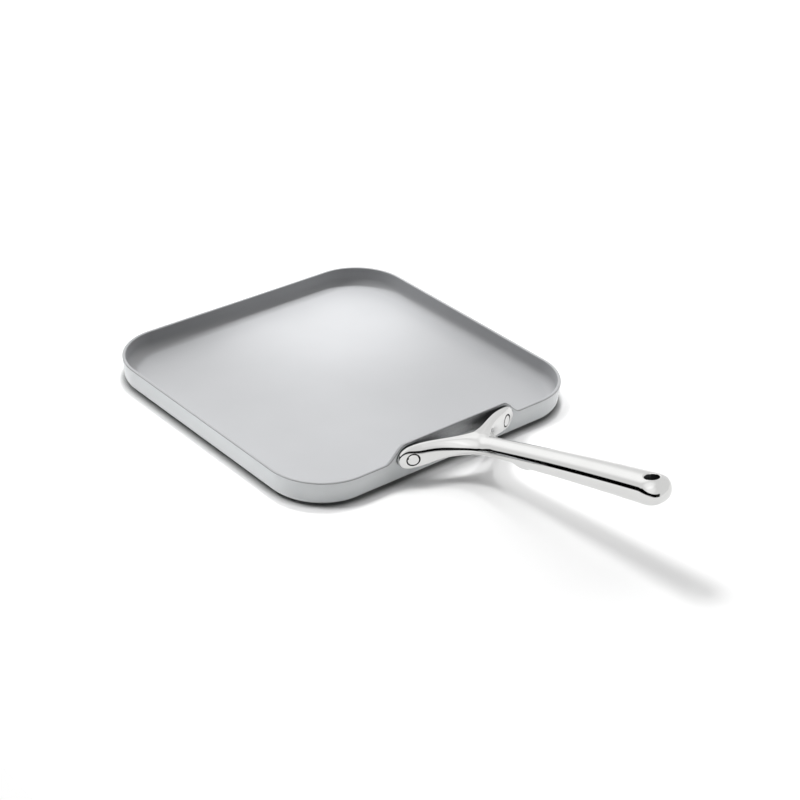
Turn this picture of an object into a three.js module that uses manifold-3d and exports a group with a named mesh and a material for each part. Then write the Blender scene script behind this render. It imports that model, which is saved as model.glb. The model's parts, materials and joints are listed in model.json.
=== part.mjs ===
// Square griddle pan: a coated aluminium pan with low walls and a raised wall tab, a forked cast steel handle,
// two rivets that hold it to the tab, and a perforated induction plate set into the underside.
// Millimetres. The origin is the centre of the base on the surface it stands on, +X runs along the handle, +Z is up.
import * as THREE from 'three';
import { mergeVertices } from 'three/addons/utils/BufferGeometryUtils.js';
import Module from 'manifold-3d';

// Pan: outline, wall and floor
const PAN_SIZE = 280; // square over the rim
const CORNER_RADIUS = 47.5; // rim corner, seen from above
const RIM_HEIGHT = 20.4;
const RIM_ROUND = 0.9; // small radius on both edges of the rim
const WALL_THICKNESS = 2.7;
const WALL_LEAN = 1.2; // how far the wall leans out from its foot to the rim
const FLOOR_THICKNESS = 4;
const BASE_EDGE_RADIUS = 6; // outside, between base and wall
const FLOOR_FILLET = 9; // inside, between floor and wall

// Raised tab of the wall that carries the handle
const TAB_RISE = 12.6; // tab top above the rim
const TAB_PAST_RIVET = 2.1; // straight top edge beyond each rivet
const TAB_SHOULDER = 18.5; // length of the S-curve from the tab down to the rim

// Rivets
const RIVET_SPACING = 95;
const RIVET_HEIGHT = 21.2; // axis above the table
const RIVET_DIAMETER = 8.3;
const RIVET_HEAD_DIAMETER = 12.4; // low head inside the pan
const RIVET_HEAD_HEIGHT = 2;
const RIVET_HEAD_EDGE = 0.4; // straight edge under the dome of the head
const RIVET_PROUD = 0.2; // outer end above the pad face
const RIVET_CHAMFER = 0.4;

// Induction plate
const PLATE_SIZE = 196;
const PLATE_CORNER_RADIUS = 32;
const PLATE_THICKNESS = 0.9;
const PERFORATION_DIAMETER = 9;
const PERFORATION_PITCH = 34;
const PERFORATIONS_PER_SIDE = 5; // the middle one is left out

// Handle pads and fork
const PAD_THICKNESS = 6.7; // at the rivet
const PAD_SLOPE = 0.42; // pad face falls back towards the wall by this much per millimetre outwards
const PAD_TILT = 0.08; // pad face leans back by this much per millimetre upwards
const PAD_PAST_RIVET = 10.4; // rivet axis to the round end
const PAD_BEFORE_RIVET = 7.5; // rivet axis to the start of the leg
const PAD_END_ROUND = 9.5; // length of the round end
const PAD_BELOW_RIVET = 8; // lower edge under the rivet axis
const PAD_ABOVE_RIVET = 9.8; // top edge over the rivet axis
const PAD_EDGE_ROUND = 2; // lower edge of the pads
const COUNTERBORE_DIAMETER = 10.4;
const COUNTERBORE_DEPTH = 1.4;
const CROTCH_GAP = 14.9; // widest gap between fork and wall
const LEG_LEAD = 20; // how far the leg keeps the pad's direction
const NECK_LEAD = 22; // how far the neck's side keeps the grip's direction
const LEG_SHARE = 0.72; // share of the curve from pad to neck that belongs to the leg
const LEG_BEND = 14; // how far out of the middle the leg's centre line bends
const LEG_FILL = 3; // how late the underside of the leg fills out towards the fork, as a power

// Handle neck and grip
const FORK_REACH = 27.2; // wall to the point where the legs' centre lines meet
const FORK_HEIGHT = 26.9; // that point above the table
const FORK_EASE = 9; // length of the hollow curve from the level top of the fork into the rising grip
const NECK_REACH = 49.7; // wall to the narrowest place
const NECK_WIDTH = 20.2;
const NECK_DEPTH = 16.2;
const NECK_HOLLOW = 2.2; // underside of the neck is hollowed by this much in front of the finger stop
const GRIP_LENGTH = 191.5; // from the fork point to the tip, along the grip
const GRIP_WIDTH = 26.4; // at the tip
const GRIP_DEPTH = 20.8; // at the tip
const GRIP_ANGLE_AT_FORK = 17.8; // degrees above level
const GRIP_ANGLE_AT_TIP = 14.6;
const TIP_ROUND = 12.5; // length of the round end
const FINGER_STOP_START = 43.5; // along the grip from the fork point
const FINGER_STOP_RISE = 9; // length of the gentle side
const FINGER_STOP_LENGTH = 4;
const FINGER_STOP_FALL = 6.5; // length of the steep side
const FINGER_STOP_DEPTH = 1.6;
const HANG_HOLE_DIAMETER = 11;
const HANG_HOLE_FROM_TIP = 11.4;

const CLEARANCE = 0.3; // between pieces that touch

// Roundness of a bar's section: 2 is an ellipse, more is squarer
const GRIP_ROUNDNESS = 2.1;
const LEG_ROUNDNESS = 2.4;
const LEG_BACK_ROUNDNESS = 5;
const CROTCH_ROUNDNESS = 2.5;
const TIP_ROUNDNESS = 2.4;

// Facets
const CORNER_STEPS = 8;
const SHOULDER_STEPS = 8;
const EDGE_STEPS = 5;
const RIM_STEPS = 3;
const ROUND_SIDES = 24;
const PERFORATION_SIDES = 14;
const HEAD_STEPS = 4;
const SECTION_STEPS = 6; // on a quarter of a bar's section
const PAD_END_STEPS = 9;
const PAD_FLAT_STEPS = 3;
const LEG_STEPS = 14;
const NECK_STEPS = 6;
const GRIP_STEPS = 40;
const TIP_STEPS = 7;
const WELD_DISTANCE = 1e-4;

// Places that follow from the sizes
const halfPan = PAN_SIZE / 2;
const rivetY = RIVET_SPACING / 2;
const tabHalf = rivetY + TAB_PAST_RIVET;
const filletTop = FLOOR_THICKNESS + FLOOR_FILLET;
const handleBack = halfPan + CLEARANCE;
const padFace = handleBack + PAD_THICKNESS;
const boreDiameter = RIVET_DIAMETER + 2 * CLEARANCE;
const perforationClear = PERFORATION_DIAMETER - 2 * CLEARANCE;
const recessDepth = PLATE_THICKNESS + CLEARANCE;

const wasm = await Module();
wasm.setup();

const lerp = THREE.MathUtils.lerp;
const smoothstep = THREE.MathUtils.smoothstep;

// Closed mesh to solid: vertices at the same place become one, and triangles that shrank to a line are dropped
function solidFrom(geometry) {
  const bare = geometry.clone();
  bare.deleteAttribute('normal');
  bare.deleteAttribute('uv');
  const merged = mergeVertices(bare, WELD_DISTANCE);
  const triangles = [];
  const index = merged.index.array;
  for (let i = 0; i < index.length; i += 3) {
    const [a, b, c] = [index[i], index[i + 1], index[i + 2]];
    if (a !== b && b !== c && c !== a) triangles.push(a, b, c);
  }
  return new wasm.Manifold(new wasm.Mesh({
    numProp: 3,
    vertProperties: Float32Array.from(merged.attributes.position.array),
    triVerts: Uint32Array.from(triangles),
  }));
}

function geometryFrom(solid) {
  const mesh = solid.getMesh();
  const geometry = new THREE.BufferGeometry();
  geometry.setAttribute('position', new THREE.BufferAttribute(Float32Array.from(mesh.vertProperties), 3));
  geometry.setIndex(new THREE.BufferAttribute(Uint32Array.from(mesh.triVerts), 1));
  geometry.computeVertexNormals();
  return geometry;
}

// Triangles between rows of points, each row joined to the next
function skin(rows, closed, turned) {
  const triangles = [];
  for (let i = 0; i + 1 < rows.length; i += 1) {
    const [row, next] = [rows[i], rows[i + 1]];
    const last = closed ? row.length : row.length - 1;
    for (let j = 0; j < last; j += 1) {
      const k = (j + 1) % row.length;
      const faces = [[row[j], row[k], next[k]], [row[j], next[k], next[j]]];
      for (const [a, b, c] of faces) triangles.push(a, turned ? c : b, turned ? b : c);
    }
  }
  return triangles;
}

function geometryFromPoints(points) {
  return new THREE.BufferGeometry().setFromPoints(points).setIndex([...points.keys()]);
}

// Round bar along +X
function barAlongX(diameter, start, end) {
  const bar = new THREE.CylinderGeometry(diameter / 2, diameter / 2, end - start, ROUND_SIDES);
  bar.rotateZ(-Math.PI / 2);
  return bar.translate((start + end) / 2, 0, 0);
}

const atRivet = (bar, y) => bar.translate(0, y, RIVET_HEIGHT);

// Shifts the part of a bar that is inside or beyond the pad along X by the slope of the pad face
function slantedToPad(bar, y) {
  const place = bar.attributes.position;
  for (let i = 0; i < place.count; i += 1) {
    const slope = PAD_SLOPE * Math.sign(y) * place.getY(i) + PAD_TILT * place.getZ(i);
    if (place.getX(i) > handleBack) place.setX(i, place.getX(i) - slope);
  }
  return bar;
}

// Rounded square, as an outline for the plate and its recess
function roundedSquare(size, radius) {
  const far = size / 2;
  const near = far - radius;
  const shape = new THREE.Shape();
  shape.moveTo(far, -near);
  shape.lineTo(far, near);
  shape.absarc(near, near, radius, 0, Math.PI / 2);
  shape.lineTo(-near, far);
  shape.absarc(-near, near, radius, Math.PI / 2, Math.PI);
  shape.lineTo(-far, -near);
  shape.absarc(-near, -near, radius, Math.PI, Math.PI * 1.5);
  shape.lineTo(near, -far);
  shape.absarc(near, -near, radius, Math.PI * 1.5, Math.PI * 2);
  return shape;
}

// Plate outline with its grid of round holes, and none in the middle
function perforatedPlate(size, radius, holeDiameter, thickness) {
  const shape = roundedSquare(size, radius);
  const middle = (PERFORATIONS_PER_SIDE - 1) / 2;
  for (let column = 0; column < PERFORATIONS_PER_SIDE; column += 1) {
    for (let row = 0; row < PERFORATIONS_PER_SIDE; row += 1) {
      if (column === middle && row === middle) continue;
      const centre = new THREE.Vector2(column - middle, row - middle).multiplyScalar(PERFORATION_PITCH);
      const points = [];
      for (let i = 0; i < PERFORATION_SIDES; i += 1) {
        const angle = (-2 * Math.PI * i) / PERFORATION_SIDES;
        points.push(new THREE.Vector2(holeDiameter / 2, 0).rotateAround(new THREE.Vector2(), angle).add(centre));
      }
      shape.holes.push(new THREE.Path(points));
    }
  }
  return new THREE.ExtrudeGeometry(shape, { depth: thickness, bevelEnabled: false, curveSegments: CORNER_STEPS });
}

// Height that the tab adds to the wall at a place along the handle side
function tabLift(y) {
  return TAB_RISE * (1 - smoothstep(Math.abs(y), tabHalf, tabHalf + TAB_SHOULDER));
}

// Height of a point of the wall: above the fillet the wall is drawn up to the tab
function liftedHeight(height, y) {
  const share = THREE.MathUtils.clamp((height - filletTop) / (RIM_HEIGHT - RIM_ROUND - filletTop), 0, 1);
  return height + tabLift(y) * share;
}

// One ring round the pan at an inset from the rim's outline, with extra points along the tab
function panRing(inset, height) {
  const straight = halfPan - CORNER_RADIUS;
  const radius = CORNER_RADIUS - inset;
  const ring = [];
  const shoulder = [];
  for (let i = 0; i <= SHOULDER_STEPS; i += 1) shoulder.push(tabHalf + (TAB_SHOULDER * i) / SHOULDER_STEPS);
  const along = [...shoulder.map((y) => -y).reverse(), 0, ...shoulder];
  for (const y of along) ring.push(new THREE.Vector3(halfPan - inset, y, liftedHeight(height, y)));
  const corners = [[1, 1], [-1, 1], [-1, -1], [1, -1]];
  corners.forEach(([sideX, sideY], corner) => {
    for (let i = 0; i <= CORNER_STEPS; i += 1) {
      const angle = (Math.PI / 2) * (corner + i / CORNER_STEPS);
      const x = sideX * straight + radius * Math.cos(angle);
      const y = sideY * straight + radius * Math.sin(angle);
      ring.push(new THREE.Vector3(x, y, height));
    }
  });
  return ring;
}

// How far the outer wall stands in from the rim at a height
function wallInset(height) {
  return WALL_LEAN * (1 - (height - BASE_EDGE_RADIUS) / (RIM_HEIGHT - BASE_EDGE_RADIUS));
}

// Quarter circle of [inset, height] pairs
function arc(inset, height, radius, startDegrees, steps) {
  const points = [];
  for (let i = 0; i <= steps; i += 1) {
    const angle = THREE.MathUtils.degToRad(startDegrees + (90 * i) / steps);
    points.push([inset + radius * Math.cos(angle), height + radius * Math.sin(angle)]);
  }
  return points;
}

// Section of the wall from the base edge, up the outside, over the rim and down the inside to the floor.
// The inset grows towards the middle of the pan.
function wallSection() {
  const foot = wallInset(BASE_EDGE_RADIUS);
  const rimRoundHeight = RIM_HEIGHT - RIM_ROUND;
  const innerFoot = wallInset(filletTop) + WALL_THICKNESS;
  return [
    ...arc(foot + BASE_EDGE_RADIUS, BASE_EDGE_RADIUS, BASE_EDGE_RADIUS, 180, EDGE_STEPS).reverse(),
    [wallInset(filletTop), filletTop],
    ...arc(RIM_ROUND, rimRoundHeight, RIM_ROUND, 90, RIM_STEPS).reverse(),
    ...arc(WALL_THICKNESS - RIM_ROUND, rimRoundHeight, RIM_ROUND, 0, RIM_STEPS).reverse(),
    ...arc(innerFoot + FLOOR_FILLET, filletTop, FLOOR_FILLET, 180, EDGE_STEPS),
  ];
}

function buildPanBody() {
  const rings = wallSection().map(([inset, height]) => panRing(inset, height));
  const under = rings[0].map(() => new THREE.Vector3(0, 0, 0));
  const floor = rings[0].map(() => new THREE.Vector3(0, 0, FLOOR_THICKNESS));
  let pan = solidFrom(geometryFromPoints(skin([under, ...rings, floor], true, false)));
  const recess = perforatedPlate(
    PLATE_SIZE + 2 * CLEARANCE,
    PLATE_CORNER_RADIUS + CLEARANCE,
    perforationClear,
    2 * recessDepth,
  );
  pan = pan.subtract(solidFrom(recess.translate(0, 0, -recessDepth)));
  for (const y of [-rivetY, rivetY]) {
    const bore = barAlongX(boreDiameter, halfPan - CORNER_RADIUS, handleBack);
    pan = pan.subtract(solidFrom(atRivet(bore, y)));
  }
  return geometryFrom(pan);
}

function buildInductionPlate() {
  return perforatedPlate(PLATE_SIZE, PLATE_CORNER_RADIUS, PERFORATION_DIAMETER, PLATE_THICKNESS);
}

// Rivet: low domed head inside the pan, shank through wall and pad, outer end finished flush with the sloping pad
function buildRivet(y) {
  const headSeat = halfPan - wallInset(filletTop) - WALL_THICKNESS - CLEARANCE;
  const domeHeight = RIVET_HEAD_HEIGHT - RIVET_HEAD_EDGE;
  const end = padFace + RIVET_PROUD;
  const shank = RIVET_DIAMETER / 2;
  const head = RIVET_HEAD_DIAMETER / 2;
  const profile = [];
  for (let i = 0; i <= HEAD_STEPS; i += 1) {
    const angle = (Math.PI / 2) * (i / HEAD_STEPS);
    profile.push([head * Math.sin(angle), headSeat - RIVET_HEAD_EDGE - domeHeight * Math.cos(angle)]);
  }
  profile.push([head, headSeat], [shank, headSeat], [shank, end - RIVET_CHAMFER], [shank - RIVET_CHAMFER, end], [0, end]);
  const rivet = new THREE.LatheGeometry(profile.map(([radius, x]) => new THREE.Vector2(radius, x)), ROUND_SIDES);
  rivet.rotateZ(-Math.PI / 2);
  return geometryFrom(solidFrom(atRivet(slantedToPad(rivet, y), y)));
}

// Fork in plan, one side: the back edge leaves the wall at the pad and bends out to the crotch in the middle
function forkBack(y) {
  const share = Math.min(y / rivetY, 1);
  return handleBack + (CROTCH_GAP * (1 + Math.cos(Math.PI * share))) / 2;
}

// The front edge is straight along the pad, then one curve along the leg into the side of the neck
const padLine = (y) => padFace + PAD_SLOPE * (rivetY - y);
const legStartY = rivetY - PAD_BEFORE_RIVET;
const legStart = new THREE.Vector2(padLine(legStartY), legStartY);
const neckSide = new THREE.Vector2(handleBack + NECK_REACH, NECK_WIDTH / 2);
const forkFront = new THREE.CubicBezierCurve(
  legStart,
  legStart.clone().add(new THREE.Vector2(PAD_SLOPE, -1).multiplyScalar(LEG_LEAD)),
  neckSide.clone().sub(new THREE.Vector2(NECK_LEAD, 0)),
  neckSide,
);

// Centre line of the leg, from the pad to the fork point
const forkPoint = new THREE.Vector2(handleBack + FORK_REACH, 0);
const legCentreStart = new THREE.Vector2((legStart.x + forkBack(legStartY)) / 2, legStartY);
const legCentre = new THREE.QuadraticBezierCurve(
  legCentreStart,
  new THREE.Vector2((legCentreStart.x + forkPoint.x) / 2, LEG_BEND),
  forkPoint,
);

// Grip centre line: a flat arc that rises from the fork point, in the plane of symmetry
const angleAtFork = THREE.MathUtils.degToRad(GRIP_ANGLE_AT_FORK);
const angleAtTip = THREE.MathUtils.degToRad(GRIP_ANGLE_AT_TIP);
const gripAngle = (along) => lerp(angleAtFork, angleAtTip, along / GRIP_LENGTH);

function gripPoint(along) {
  const bendRadius = GRIP_LENGTH / (angleAtFork - angleAtTip);
  const angle = gripAngle(along);
  return new THREE.Vector3(
    forkPoint.x + bendRadius * (Math.sin(angleAtFork) - Math.sin(angle)),
    0,
    FORK_HEIGHT + bendRadius * (Math.cos(angle) - Math.cos(angleAtFork)),
  );
}

// The underside is hollowed along the neck and swells to a bump that stops the finger, gentle towards the pan and
// steep towards the grip
function underside(along) {
  const crest = FINGER_STOP_START + FINGER_STOP_RISE;
  const fall = crest + FINGER_STOP_LENGTH;
  const rise = smoothstep(along, FINGER_STOP_START, crest);
  const stop = FINGER_STOP_DEPTH * rise * (1 - smoothstep(along, fall, fall + FINGER_STOP_FALL));
  return stop - NECK_HOLLOW * (1 - rise);
}

// Each station of the bar has a centre, an upward direction, its height above and below the centre, a front edge
// and, on pad and leg, a back edge. An edge has its reach from the centre and the roundness of its side.
const padEdgeHeight = RIVET_HEIGHT - PAD_BELOW_RIVET + PAD_EDGE_ROUND;
const padAbove = RIVET_HEIGHT + PAD_ABOVE_RIVET - padEdgeHeight;
const padMiddle = RIVET_HEIGHT + (PAD_ABOVE_RIVET - PAD_BELOW_RIVET) / 2;

// The legs go on along the slope of the grip and drop a little more towards the pads
const gripSlope = Math.tan(angleAtFork);
const slopeHeight = (x) => FORK_HEIGHT + gripSlope * (x - forkPoint.x);
const padDrop = slopeHeight((handleBack + padFace) / 2) - padEdgeHeight;

// The top of the fork is level, so it stands a little above the line of the grip where the grip starts
const forkLift = (along) => (gripSlope * Math.max(FORK_EASE - along, 0) ** 2) / (2 * FORK_EASE);

function legHeights(x, y) {
  const rise = 1 - smoothstep(y, 0, rivetY);
  return {
    rise,
    edge: slopeHeight(x) - padDrop * (1 - rise),
    above: lerp(padAbove, NECK_DEPTH / 2 + forkLift(0), rise),
    below: lerp(PAD_EDGE_ROUND, NECK_DEPTH / 2 - NECK_HOLLOW, rise ** LEG_FILL),
  };
}

function padStation(y) {
  const endY = rivetY + PAD_PAST_RIVET;
  const share = THREE.MathUtils.clamp((y - endY + PAD_END_ROUND) / PAD_END_ROUND, 0, 1);
  const full = Math.sqrt(1 - share * share);
  const [front, back] = [padLine(y), forkBack(y)];
  const middle = (front + back) / 2;
  const { edge, above, below } = legHeights(middle, y);
  return {
    centre: new THREE.Vector3(middle, y, lerp(padMiddle, edge, full)),
    up: new THREE.Vector3(0, 0, 1),
    above: above * full,
    below: below * full,
    front: { reach: new THREE.Vector3(front - middle, 0, 0), roundness: LEG_ROUNDNESS },
    back: { reach: new THREE.Vector3(back - middle, 0, 0), roundness: LEG_BACK_ROUNDNESS },
  };
}

function legStation(share) {
  const centre = legCentre.getPoint(share);
  const front = forkFront.getPoint(share * LEG_SHARE);
  const backY = legStartY * (1 - share);
  const { rise, edge, above, below } = legHeights(centre.x, centre.y);
  return {
    centre: new THREE.Vector3(centre.x, centre.y, edge),
    up: new THREE.Vector3(0, 0, 1),
    above,
    below,
    front: {
      reach: new THREE.Vector3(front.x - centre.x, front.y - centre.y, rise * gripSlope * (front.x - centre.x)),
      roundness: lerp(LEG_ROUNDNESS, GRIP_ROUNDNESS, share),
    },
    back: {
      reach: new THREE.Vector3(forkBack(backY) - centre.x, backY - centre.y, 0),
      roundness: lerp(LEG_BACK_ROUNDNESS, CROTCH_ROUNDNESS, share),
    },
  };
}

const neckLength = (NECK_REACH - FORK_REACH) / Math.cos(angleAtFork);

function gripStation(along) {
  const centre = gripPoint(along);
  const tilt = gripAngle(along) * smoothstep(along, 0, neckLength);
  const size = THREE.MathUtils.clamp((along - neckLength) / (GRIP_LENGTH - TIP_ROUND - neckLength), 0, 1);
  const share = THREE.MathUtils.clamp((along - GRIP_LENGTH + TIP_ROUND) / TIP_ROUND, 0, 1);
  const full = (1 - share ** TIP_ROUNDNESS) ** (1 / TIP_ROUNDNESS);
  const half = (full * lerp(NECK_DEPTH, GRIP_DEPTH, size)) / 2;
  const neckShare = LEG_SHARE + (1 - LEG_SHARE) * Math.min(along / neckLength, 1);
  const neckFront = forkFront.getPoint(neckShare);
  const inNeck = along < neckLength;
  const reach = inNeck
    ? new THREE.Vector3(neckFront.x - centre.x, neckFront.y, gripSlope * (neckFront.x - centre.x))
    : new THREE.Vector3(0, (full * lerp(NECK_WIDTH, GRIP_WIDTH, size)) / 2, 0);
  return {
    centre,
    up: new THREE.Vector3(-Math.sin(tilt), 0, Math.cos(tilt)),
    above: half + forkLift(along),
    below: half + full * underside(along),
    front: { reach, roundness: GRIP_ROUNDNESS },
  };
}

// Row of points from the top of a station over its edge to its underside
function sectionRow(station, edge, side) {
  const row = [];
  const power = 2 / edge.roundness;
  for (let i = -SECTION_STEPS; i <= SECTION_STEPS; i += 1) {
    const angle = (Math.PI / 2) * (i / SECTION_STEPS);
    const atRidge = Math.abs(i) === SECTION_STEPS;
    const out = atRidge ? 0 : Math.cos(angle) ** power;
    const rise = Math.abs(Math.sin(angle)) ** power * (i < 0 ? station.above : -station.below);
    const point = station.centre.clone().addScaledVector(edge.reach, out).addScaledVector(station.up, rise);
    row.push(point.setY(point.y * side));
  }
  return row;
}

function steps(count, at) {
  return Array.from({ length: count }, (_, i) => at(i / count));
}

// Handle: the same skin on both sides of the plane of symmetry, then the bores are cut
function buildHandle() {
  const endY = rivetY + PAD_PAST_RIVET;
  const roundTo = endY - PAD_END_ROUND;
  const pad = [
    ...steps(PAD_END_STEPS, (t) => padStation(roundTo + PAD_END_ROUND * Math.cos((Math.PI / 2) * t))),
    ...steps(PAD_FLAT_STEPS, (t) => padStation(lerp(roundTo, legStartY, t))),
  ];
  const leg = steps(LEG_STEPS, legStation);
  const forkEnd = legStation(1);
  const gripStart = GRIP_LENGTH - TIP_ROUND;
  const neckAndGrip = [
    ...steps(NECK_STEPS, (t) => gripStation(neckLength * t)),
    ...steps(GRIP_STEPS, (t) => gripStation(lerp(neckLength, gripStart, t))),
    ...steps(TIP_STEPS, (t) => gripStation(gripStart + TIP_ROUND * Math.sin((Math.PI / 2) * t))),
    gripStation(GRIP_LENGTH),
  ];
  const triangles = [];
  for (const side of [1, -1]) {
    const frontRows = [...pad, ...leg, ...neckAndGrip].map((station) => sectionRow(station, station.front, side));
    const backRows = [...pad, ...leg, forkEnd].map((station) => sectionRow(station, station.back, side));
    triangles.push(...skin(frontRows, false, side > 0), ...skin(backRows, false, side < 0));
  }
  let handle = solidFrom(geometryFromPoints(triangles));
  for (const y of [-rivetY, rivetY]) {
    const bore = barAlongX(boreDiameter, halfPan - WALL_THICKNESS, neckSide.x);
    const counterbore = slantedToPad(barAlongX(COUNTERBORE_DIAMETER, padFace - COUNTERBORE_DEPTH, neckSide.x), y);
    handle = handle.subtract(solidFrom(atRivet(bore, y))).subtract(solidFrom(atRivet(counterbore, y)));
  }
  return geometryFrom(handle.subtract(solidFrom(hangHole())));
}

// Hang hole, square to the grip
function hangHole() {
  const along = GRIP_LENGTH - HANG_HOLE_FROM_TIP;
  const centre = gripPoint(along);
  const hole = new THREE.CylinderGeometry(HANG_HOLE_DIAMETER / 2, HANG_HOLE_DIAMETER / 2, 2 * GRIP_DEPTH, ROUND_SIDES);
  hole.rotateX(Math.PI / 2);
  hole.rotateY(-gripAngle(along));
  return hole.translate(centre.x, centre.y, centre.z);
}

const ceramicCoating = { color: 0xb4b6b9, roughness: 0.5, metalness: 0.15 };
const polishedSteel = { color: 0xd9d8d4, roughness: 0.12, metalness: 1 };
const millSteel = { color: 0xb8b6b0, roughness: 0.4, metalness: 1 };

function piece(name, geometry, finish) {
  const mesh = new THREE.Mesh(geometry, new THREE.MeshStandardMaterial(finish));
  mesh.name = name;
  return mesh;
}

const griddlePan = new THREE.Group();
griddlePan.add(
  piece('pan_body', buildPanBody(), ceramicCoating),
  piece('induction_plate', buildInductionPlate(), millSteel),
  piece('handle', buildHandle(), polishedSteel),
  piece('rivet_left', buildRivet(-rivetY), polishedSteel),
  piece('rivet_right', buildRivet(rivetY), polishedSteel),
);

export default griddlePan;
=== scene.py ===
# Square griddle pan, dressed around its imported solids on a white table: a coated aluminium pan, the
# induction plate in its underside, a forked cast steel handle and the two rivets that hold it.
import json
import math

import bmesh
import bpy
from mathutils import Matrix, Vector

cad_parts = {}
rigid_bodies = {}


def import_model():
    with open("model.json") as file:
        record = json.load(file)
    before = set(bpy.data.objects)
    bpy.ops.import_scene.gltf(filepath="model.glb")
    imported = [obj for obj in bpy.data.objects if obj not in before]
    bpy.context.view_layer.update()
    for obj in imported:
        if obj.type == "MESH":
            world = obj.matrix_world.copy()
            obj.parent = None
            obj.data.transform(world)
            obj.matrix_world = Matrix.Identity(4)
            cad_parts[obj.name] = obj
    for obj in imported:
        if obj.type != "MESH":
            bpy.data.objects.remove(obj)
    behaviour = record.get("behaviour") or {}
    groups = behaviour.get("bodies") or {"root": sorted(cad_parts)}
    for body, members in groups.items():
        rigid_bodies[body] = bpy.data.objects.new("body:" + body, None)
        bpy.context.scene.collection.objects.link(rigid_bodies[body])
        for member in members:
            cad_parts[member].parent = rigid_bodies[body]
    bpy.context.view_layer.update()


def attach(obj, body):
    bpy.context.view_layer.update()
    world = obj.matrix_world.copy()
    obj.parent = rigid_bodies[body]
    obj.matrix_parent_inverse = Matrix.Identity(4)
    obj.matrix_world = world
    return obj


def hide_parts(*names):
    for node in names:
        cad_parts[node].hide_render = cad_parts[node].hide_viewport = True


for leftover in list(bpy.data.objects):
    bpy.data.objects.remove(leftover)
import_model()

# Pan
# One pressing of thick aluminium: a flat square floor with round corners, low walls, and on one side a
# raised straight tab that carries the handle. It is sprayed all over with a ceramic coating and baked.
MM = 0.001
pan_size = 280 * MM
corner_radius = 47.5 * MM
rim_height = 20.4 * MM
rim_round = 0.9 * MM
wall_thickness = 2.7 * MM
wall_lean = 1.2 * MM
floor_thickness = 4 * MM
base_edge_radius = 6 * MM
floor_fillet = 9 * MM
flat_margin = 3 * MM  # flat strip of floor and base that belongs to the swept wall
tab_rise = 12.6 * MM
tab_past_rivet = 2.1 * MM
tab_shoulder = 18.5 * MM
rivet_spacing = 95 * MM
clearance = 0.3 * MM
pan_sharp_angle = 40  # edges that turn by more degrees are shaded sharp
seam = 0.001 * MM  # points closer than this are joined
fillet_top = floor_thickness + floor_fillet


def linear(colour):
    """An sRGB hex colour as linear red, green, blue and alpha."""
    channels = [int(colour[i:i + 2], 16) / 255 for i in (1, 3, 5)]
    return [c / 12.92 if c <= 0.04045 else ((c + 0.055) / 1.055) ** 2.4 for c in channels] + [1]


def node(tree, kind, inputs=(), **settings):
    """Adds a node with its settings. An input takes a value, a socket to link or a tuple of sockets."""
    added = tree.nodes.new(kind)
    for name, value in settings.items():
        setattr(added, name, value)
    for socket, value in dict(inputs).items():
        sources = value if isinstance(value, tuple) else (value,)
        if isinstance(sources[0], bpy.types.NodeSocket):
            for source in sources:
                tree.links.new(source, added.inputs[socket])
        else:
            added.inputs[socket].default_value = value
    return added


def arc(inset, height, radius, start, steps=12):
    """Quarter circle of points in a section, from a start angle in degrees."""
    angles = [math.radians(start + 90 * i / steps) for i in range(steps + 1)]
    return [(inset + radius * math.cos(a), height + radius * math.sin(a)) for a in angles]


def wall_inset(height):
    """How far the outer wall stands in from the rim."""
    return wall_lean * (1 - (height - base_edge_radius) / (rim_height - base_edge_radius))


def add_object(name, data):
    """A new object in the scene."""
    added = bpy.data.objects.new(name, data)
    bpy.context.collection.objects.link(added)
    return added


def section_curve(name, points):
    """A section drawn as a curve object, for a geometry tree to sweep or turn."""
    curve = bpy.data.curves.new(name, "CURVE")
    curve.dimensions = "3D"
    spline = curve.splines.new("POLY")
    spline.points.add(len(points) - 1)
    for point, (across, along) in zip(spline.points, points):
        point.co = (across, along, 0, 1)
    return add_object(name, curve)


def new_tree(name, sizes, section=False, results=("Geometry",)):
    """A geometry tree with named sizes, and with the object of its section if it has one."""
    tree = bpy.data.node_groups.new(name, "GeometryNodeTree")
    for size in sizes:
        tree.interface.new_socket(size, in_out="INPUT", socket_type="NodeSocketFloat")
    if section:
        tree.interface.new_socket("Section", in_out="INPUT", socket_type="NodeSocketObject")
    for result in results:
        tree.interface.new_socket(result, in_out="OUTPUT", socket_type="NodeSocketGeometry")
    return tree


def finish_mesh(mesh, sharp_angle):
    """Closes a mesh's seams, turns its faces outwards and shades it smooth up to an angle in degrees."""
    work = bmesh.new()
    work.from_mesh(mesh)
    bmesh.ops.remove_doubles(work, verts=work.verts, dist=seam)
    bmesh.ops.recalc_face_normals(work, faces=work.faces)
    work.to_mesh(mesh)
    work.free()
    mesh.shade_smooth()
    mesh.set_sharp_from_angle(angle=math.radians(sharp_angle))


def keep_result(piece, sharp_angle):
    """Keeps what the modifiers of a piece give as its plain mesh."""
    evaluated = piece.evaluated_get(bpy.context.evaluated_depsgraph_get())
    mesh = bpy.data.meshes.new_from_object(evaluated)
    piece.modifiers.clear()
    piece.data = mesh
    finish_mesh(mesh, sharp_angle)


def from_tree(name, tree, values, sharp_angle):
    """A piece of the pan with the mesh that a tree gives for these sizes."""
    piece = add_object(name, bpy.data.meshes.new(name))
    modifier = piece.modifiers.new("tree", "NODES")
    modifier.node_group = tree
    for item in tree.interface.items_tree:
        if item.in_out == "INPUT":
            modifier[item.identifier] = values[item.name]
    keep_result(piece, sharp_angle)
    return piece


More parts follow.
